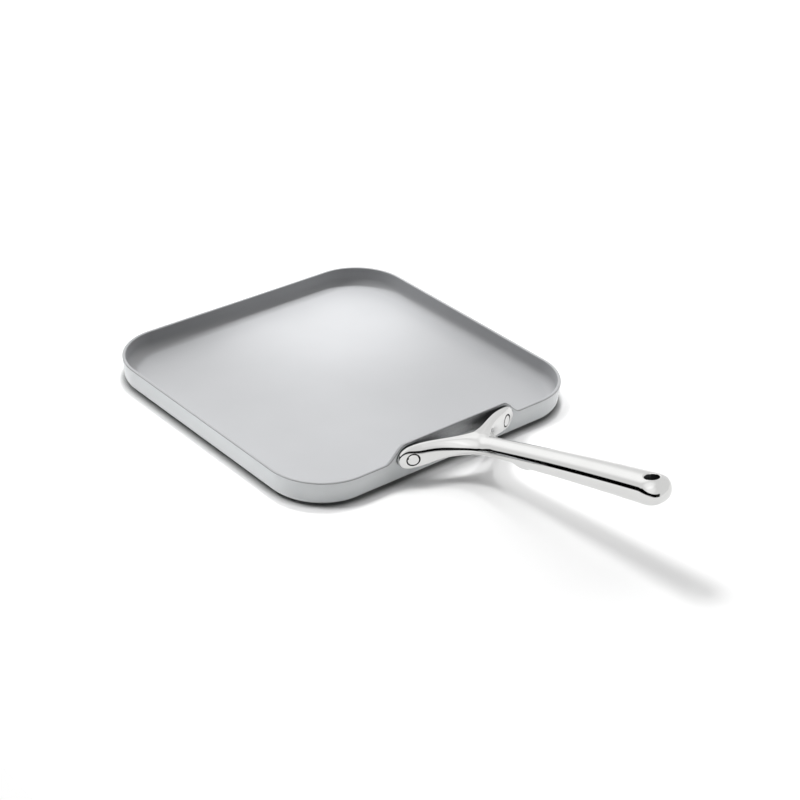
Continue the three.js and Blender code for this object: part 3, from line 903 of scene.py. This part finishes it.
# Rivets
# Solid steel rivets: a low domed head inside the pan, the shank through wall and pad, and an outer end that
# is set and ground flush with the sloping pad, with a thin dark gap round it.
rivet_diameter = 8.3 * MM
rivet_head_diameter = 12.4 * MM
rivet_head_height = 2 * MM
rivet_head_edge = 0.4 * MM
rivet_proud = 0.2 * MM
rivet_chamfer = 0.4 * MM
rivet_sharp_angle = 15
rivet_turn_steps = 64
head_seat = pan_size / 2 - wall_inset(fillet_top) - wall_thickness - clearance
rivet_end = pad_face + rivet_proud
dome_foot = head_seat - rivet_head_edge
dome_rise = rivet_head_height - rivet_head_edge
dome_angles = [math.pi / 2 * t for t in shares(16) + [1]]
rivet_points = [
    *[(rivet_head_diameter / 2 * math.sin(a), dome_foot - dome_rise * math.cos(a)) for a in dome_angles],
    (rivet_head_diameter / 2, head_seat),
    (rivet_diameter / 2, head_seat),
    (rivet_diameter / 2, rivet_end - rivet_chamfer),
    (rivet_diameter / 2 - rivet_chamfer, rivet_end),
    (0, rivet_end),
]
rivet_section = section_curve("rivet_section", rivet_points)

# The section is turned about X, a copy is set on each rivet's axis, and the outer ends follow the pads
rivet_sizes = ["Section points", "Spacing", "Height", "Pad back", "Slope", "Tilt"]
riveting = new_tree("rivets", rivet_sizes, section=True)
given = node(riveting, "NodeGroupInput").outputs
section = node(riveting, "GeometryNodeObjectInfo", {"Object": given["Section"]})
sheet = node(riveting, "GeometryNodeMeshGrid", {
    "Vertices X": given["Section points"],
    "Vertices Y": rivet_turn_steps + 1,
})
across = node(riveting, "ShaderNodeSeparateXYZ", {"Vector": sheet.outputs["UV Map"]}).outputs
last = node(riveting, "ShaderNodeMath", {0: given["Section points"], 1: 1}, operation="SUBTRACT")
number = node(riveting, "ShaderNodeMath", {0: across["X"], 1: last.outputs[0]}, operation="MULTIPLY")
number = node(riveting, "ShaderNodeMath", {0: number.outputs[0]}, operation="ROUND")
here = node(riveting, "GeometryNodeInputPosition")
section = node(riveting, "GeometryNodeSampleIndex", {
    "Geometry": section.outputs["Geometry"],
    "Value": here.outputs[0],
    "Index": number.outputs[0],
}, data_type="FLOAT_VECTOR", domain="POINT")
drawn = node(riveting, "ShaderNodeSeparateXYZ", {"Vector": section.outputs["Value"]}).outputs
turn = node(riveting, "ShaderNodeMath", {0: across["Y"], 1: 2 * math.pi}, operation="MULTIPLY")
flat = node(riveting, "ShaderNodeCombineXYZ", {"X": drawn["Y"], "Y": drawn["X"]})
turned = node(riveting, "ShaderNodeVectorRotate", {
    "Vector": flat.outputs["Vector"],
    "Angle": turn.outputs[0],
}, rotation_type="X_AXIS")
rivet = node(riveting, "GeometryNodeSetPosition", {
    "Geometry": sheet.outputs["Mesh"],
    "Position": turned.outputs["Vector"],
})
half_spacing = node(riveting, "ShaderNodeMath", {0: given["Spacing"], 1: 0.5}, operation="MULTIPLY")
minus_half = node(riveting, "ShaderNodeMath", {0: given["Spacing"], 1: -0.5}, operation="MULTIPLY")
first = node(riveting, "ShaderNodeCombineXYZ", {"Y": minus_half.outputs[0], "Z": given["Height"]})
step = node(riveting, "ShaderNodeCombineXYZ", {"Y": given["Spacing"]})
places = node(riveting, "GeometryNodeMeshLine", {
    "Count": 2,
    "Start Location": first.outputs["Vector"],
    "Offset": step.outputs["Vector"],
})
rivets_set = node(riveting, "GeometryNodeInstanceOnPoints", {
    "Points": places.outputs["Mesh"],
    "Instance": rivet.outputs["Geometry"],
})
rivets_set = node(riveting, "GeometryNodeRealizeInstances", {
    "Geometry": rivets_set.outputs["Instances"],
})
axes = node(riveting, "ShaderNodeSeparateXYZ", {"Vector": here.outputs[0]}).outputs
sideways = node(riveting, "ShaderNodeMath", {0: axes["Y"]}, operation="ABSOLUTE")
outwards = node(riveting, "ShaderNodeMath", {
    0: sideways.outputs[0],
    1: half_spacing.outputs[0],
}, operation="SUBTRACT")
upwards = node(riveting, "ShaderNodeMath", {0: axes["Z"], 1: given["Height"]}, operation="SUBTRACT")
by_tilt = node(riveting, "ShaderNodeMath", {
    0: upwards.outputs[0],
    1: given["Tilt"],
}, operation="MULTIPLY")
fall = node(riveting, "ShaderNodeMath", {
    0: outwards.outputs[0],
    1: given["Slope"],
    2: by_tilt.outputs[0],
}, operation="MULTIPLY_ADD")
in_pad = node(riveting, "FunctionNodeCompare", {
    "A": axes["X"],
    "B": given["Pad back"],
}, operation="GREATER_THAN")
back = node(riveting, "ShaderNodeMath", {0: fall.outputs[0], 1: -1}, operation="MULTIPLY")
slant = node(riveting, "ShaderNodeCombineXYZ", {"X": back.outputs[0]})
rivets_set = node(riveting, "GeometryNodeSetPosition", {
    "Geometry": rivets_set.outputs["Geometry"],
    "Selection": in_pad.outputs["Result"],
    "Offset": slant.outputs["Vector"],
})
rivets_set = node(riveting, "GeometryNodeSetMaterial", {
    "Geometry": rivets_set.outputs["Geometry"],
    "Material": polished_steel,
})
node(riveting, "NodeGroupOutput", {"Geometry": rivets_set.outputs["Geometry"]})
rivets = from_tree("rivets", riveting, {
    "Section points": len(rivet_points),
    "Spacing": rivet_spacing,
    "Height": rivet_height,
    "Pad back": handle_back,
    "Slope": pad_slope,
    "Tilt": pad_tilt,
    "Section": rivet_section,
}, rivet_sharp_angle)
bpy.data.objects.remove(rivet_section)
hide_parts("rivet_left", "rivet_right")
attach(rivets, "root")

# Studio
# The pan lies on white paper. A white sheet hangs behind and over it and lights it softly, one lamp stands
# high on the left, and three spots above the pan make soft pools of light on its floor.

# The camera sees the paper as plain white with its shadows, and with a painted contact shadow that is
# darkest where the pan touches it. In the polish it shows a painted reflection: a nearly even white, partly
# a glow that is no lamp and has no shadows, which turns black at a low angle on the near side.
painted_shadow_reach = 13 * MM
painted_shadow_level = 0.25
painted_shadow_closed = 0.46  # share of open directions where the shade is full
painted_shadow_open = 0.74  # share where it ends
painted_glow_share = 0.6  # with 1, the paper has no shadows in the polish
white_above = math.radians(15)
black_below = math.radians(11)
white_paper, shader, place = new_material("white_paper")
white_paper.cycles.emission_sampling = "NONE"
ray = node(shader, "ShaderNodeLightPath")
# Painted contact shadow: the paper's colour falls where the pan is close
nearby = node(shader, "ShaderNodeAmbientOcclusion", {"Distance": painted_shadow_reach}, samples=16)
exposed = node(shader, "ShaderNodeMapRange", {
    "Value": nearby.outputs["AO"],
    "From Min": painted_shadow_closed,
    "From Max": painted_shadow_open,
    "To Min": painted_shadow_level,
})
seen = node(shader, "ShaderNodeBsdfDiffuse", {"Color": exposed.outputs["Result"]})
plain = node(shader, "ShaderNodeBsdfDiffuse", {"Color": linear("#f9f9f7")})
sloping = node(shader, "ShaderNodeLayerWeight")
clear = node(shader, "ShaderNodeMapRange", {
    "Value": sloping.outputs["Facing"],
    "From Min": 1 - math.sin(white_above),
    "From Max": 1 - math.sin(black_below),
    "To Min": 1,
    "To Max": 0,
})
sideways = node(shader, "ShaderNodeSeparateXYZ", {"Vector": place}).outputs["Y"]
far_side = node(shader, "ShaderNodeMath", {0: sideways, 1: 0}, operation="GREATER_THAN")
level = node(shader, "ShaderNodeMath", {
    0: clear.outputs["Result"],
    1: far_side.outputs[0],
}, operation="MAXIMUM")
shadowed = node(shader, "ShaderNodeBsdfDiffuse", {"Color": level.outputs[0]})
# The painted glow of the paper, seen only in the polish
even = node(shader, "ShaderNodeEmission", {"Strength": level.outputs[0]})
mirrored = node(shader, "ShaderNodeMixShader", {
    0: painted_glow_share,
    1: shadowed.outputs["BSDF"],
    2: even.outputs["Emission"],
})
plain = node(shader, "ShaderNodeMixShader", {
    0: ray.outputs["Is Glossy Ray"],
    1: plain.outputs["BSDF"],
    2: mirrored.outputs["Shader"],
})
surface = node(shader, "ShaderNodeMixShader", {
    0: ray.outputs["Is Camera Ray"],
    1: plain.outputs["Shader"],
    2: seen.outputs["BSDF"],
})
node(shader, "ShaderNodeOutputMaterial", {"Surface": surface.outputs["Shader"]})
left, right = -1.2, 0.65
near, far = -0.45, 1.2
paper_mesh = bpy.data.meshes.new("paper")
paper_mesh.from_pydata([(left, near, 0), (right, near, 0), (right, far, 0), (left, far, 0)], [], [range(4)])
paper_mesh.materials.append(white_paper)
paper = add_object("paper", paper_mesh)

# The sheet is a round cap of the sky that leans back, in a dark room. Only straight mirror reflections show
# white walls with three soft boxes, and a low dark gap in front of the pan, which rises towards the left and
# ends there in a step. The camera sees plain white.
sheet_middle = Vector((-0.547, 0.448, 0.707))
sheet_edge = math.radians(55)
sheet_blur = math.radians(4)
sheet_level = 1.55
room_level = 0.01
wall_level = 0.9
soft_boxes = [
    (Vector((-0.863, 0.250, 0.438)), math.radians(32), 0.4),
    (Vector((0.456, -0.681, 0.574)), math.radians(50), 0.25),
    (Vector((-0.135, -0.349, 0.927)), math.radians(45), 0.33),
]
gap_rise_side = Vector((-0.914, -0.404, 0))
gap_middle = Vector((0.396, -0.918, 0))
gap_half = math.radians(82)
gap_height = 0.15
gap_rise = 0.2
gap_blur = 0.015
step_side = Vector((0.788, -0.616, 0))
step_blur = 0.06
step_height = 0.2
studio = bpy.data.worlds.new("studio")
bpy.context.scene.world = studio
studio.use_nodes = True
shader = studio.node_tree
shader.nodes.clear()
direction = node(shader, "ShaderNodeTexCoord").outputs["Generated"]
towards = node(shader, "ShaderNodeVectorMath", {0: direction, 1: sheet_middle}, operation="DOT_PRODUCT")
sheet = node(shader, "ShaderNodeMapRange", {
    "Value": towards.outputs["Value"],
    "From Min": math.cos(sheet_edge + sheet_blur),
    "From Max": math.cos(sheet_edge - sheet_blur),
    "To Min": room_level,
    "To Max": sheet_level,
}, interpolation_type="SMOOTHSTEP")
walls = node(shader, "ShaderNodeValue")
walls.outputs[0].default_value = wall_level
for middle, reach, gain in soft_boxes:
    towards = node(shader, "ShaderNodeVectorMath", {0: direction, 1: middle}, operation="DOT_PRODUCT")
    glow = node(shader, "ShaderNodeMapRange", {
        "Value": towards.outputs["Value"],
        "From Min": math.cos(reach),
        "To Max": gain,
    }, interpolation_type="SMOOTHSTEP")
    walls = node(shader, "ShaderNodeMath", {
        0: walls.outputs[0],
        1: glow.outputs["Result"],
    }, operation="ADD")
leftwards = node(shader, "ShaderNodeVectorMath", {0: direction, 1: gap_rise_side}, operation="DOT_PRODUCT")
height = node(shader, "ShaderNodeSeparateXYZ", {"Vector": direction}).outputs["Z"]
gap_top = node(shader, "ShaderNodeMath", {
    0: leftwards.outputs["Value"],
    1: gap_rise,
    2: gap_height,
}, operation="MULTIPLY_ADD")
in_front = node(shader, "ShaderNodeVectorMath", {0: direction, 1: step_side}, operation="DOT_PRODUCT")
gap_limit = node(shader, "ShaderNodeMapRange", {
    "Value": in_front.outputs["Value"],
    "From Min": -step_blur,
    "From Max": step_blur,
    "To Min": step_height,
    "To Max": 2 * step_height,
})
gap_top = node(shader, "ShaderNodeMath", {
    0: gap_top.outputs[0],
    1: gap_limit.outputs["Result"],
}, operation="MINIMUM")
under = node(shader, "ShaderNodeMath", {0: gap_top.outputs[0], 1: height}, operation="SUBTRACT")
below = node(shader, "ShaderNodeMapRange", {
    "Value": under.outputs[0],
    "From Min": -gap_blur,
    "From Max": gap_blur,
})
within = node(shader, "ShaderNodeVectorMath", {0: direction, 1: gap_middle}, operation="DOT_PRODUCT")
within = node(shader, "ShaderNodeMapRange", {
    "Value": within.outputs["Value"],
    "From Min": math.cos(gap_half) - gap_blur,
    "From Max": math.cos(gap_half) + gap_blur,
})
gap = node(shader, "ShaderNodeMath", {
    0: below.outputs["Result"],
    1: within.outputs["Result"],
}, operation="MULTIPLY")
wall_light = node(shader, "ShaderNodeMix", {
    "Factor": gap.outputs[0],
    "A": walls.outputs[0],
    "B": 0.0,
}, data_type="FLOAT")
ray = node(shader, "ShaderNodeLightPath")
direct = node(shader, "ShaderNodeMath", {
    0: 1,
    1: ray.outputs["Diffuse Depth"],
}, operation="SUBTRACT", use_clamp=True)
mirrored = node(shader, "ShaderNodeMath", {
    0: ray.outputs["Is Glossy Ray"],
    1: direct.outputs[0],
}, operation="MULTIPLY")
level = node(shader, "ShaderNodeMix", {
    "Factor": mirrored.outputs[0],
    "A": sheet.outputs["Result"],
    "B": wall_light.outputs["Result"],
}, data_type="FLOAT")
level = node(shader, "ShaderNodeMix", {
    "Factor": ray.outputs["Is Camera Ray"],
    "A": level.outputs["Result"],
    "B": 1.0,
}, data_type="FLOAT")
room = node(shader, "ShaderNodeBackground", {
    "Color": linear("#ffffff"),
    "Strength": level.outputs["Result"],
})
node(shader, "ShaderNodeOutputWorld", {"Surface": room.outputs["Background"]})


def lamp(name, kind, place, target, **settings):
    """A lamp that shines from a place towards a target."""
    light = bpy.data.lights.new(name, kind)
    for setting, value in settings.items():
        setattr(light, setting, value)
    stand = add_object(name, light)
    back = Vector(place) - Vector(target)
    stand.matrix_world = Matrix.Translation(place) @ back.to_track_quat("Z", "Y").to_matrix().to_4x4()
    stand.visible_camera = False
    stand.visible_glossy = False


lamp("left_lamp", "SUN", (-0.8, -0.58, 1.74), (0, 0, 0), energy=1.25, angle=math.radians(14))
pool_side = Vector((-0.753, 0.658, 0))
pool_distance = 1.2
pools = {
    "far_pool": {"target": (-0.115, 0.065, 0), "tilt": 22, "spot": 13, "energy": 60},
    "left_pool": {"target": (0.03, -0.14, 0), "tilt": 22, "spot": 18.4, "energy": 23},
    "right_pool": {"target": (0.075, 0.09, 0), "tilt": 15, "spot": 18.5, "energy": 16.5},
}
for name, pool in pools.items():
    tilt = math.radians(pool["tilt"])
    back = pool_side * math.sin(tilt) + Vector((0, 0, math.cos(tilt)))
    place = Vector(pool["target"]) + back * pool_distance
    lamp(
        name, "SPOT", place, pool["target"], energy=pool["energy"],
        spot_size=math.radians(pool["spot"]), spot_blend=1, shadow_soft_size=0.05,
    )

# The camera, by its place, the point it looks at, its roll and its lens
camera_place = Vector((1.0688, -0.8688, 0.7992))
camera_target = Vector((0.0358, 0.0338, -0.0079))
camera_roll = Matrix.Rotation(math.radians(2.27), 4, "Z")
camera = bpy.data.cameras.new("camera")
camera.lens = 87.86
camera_object = add_object("camera", camera)
looking = (camera_target - camera_place).to_track_quat("-Z", "Y").to_matrix().to_4x4()
camera_object.matrix_world = Matrix.Translation(camera_place) @ looking @ camera_roll
bpy.context.scene.camera = camera_object
bpy.context.scene.view_settings.view_transform = "Standard"
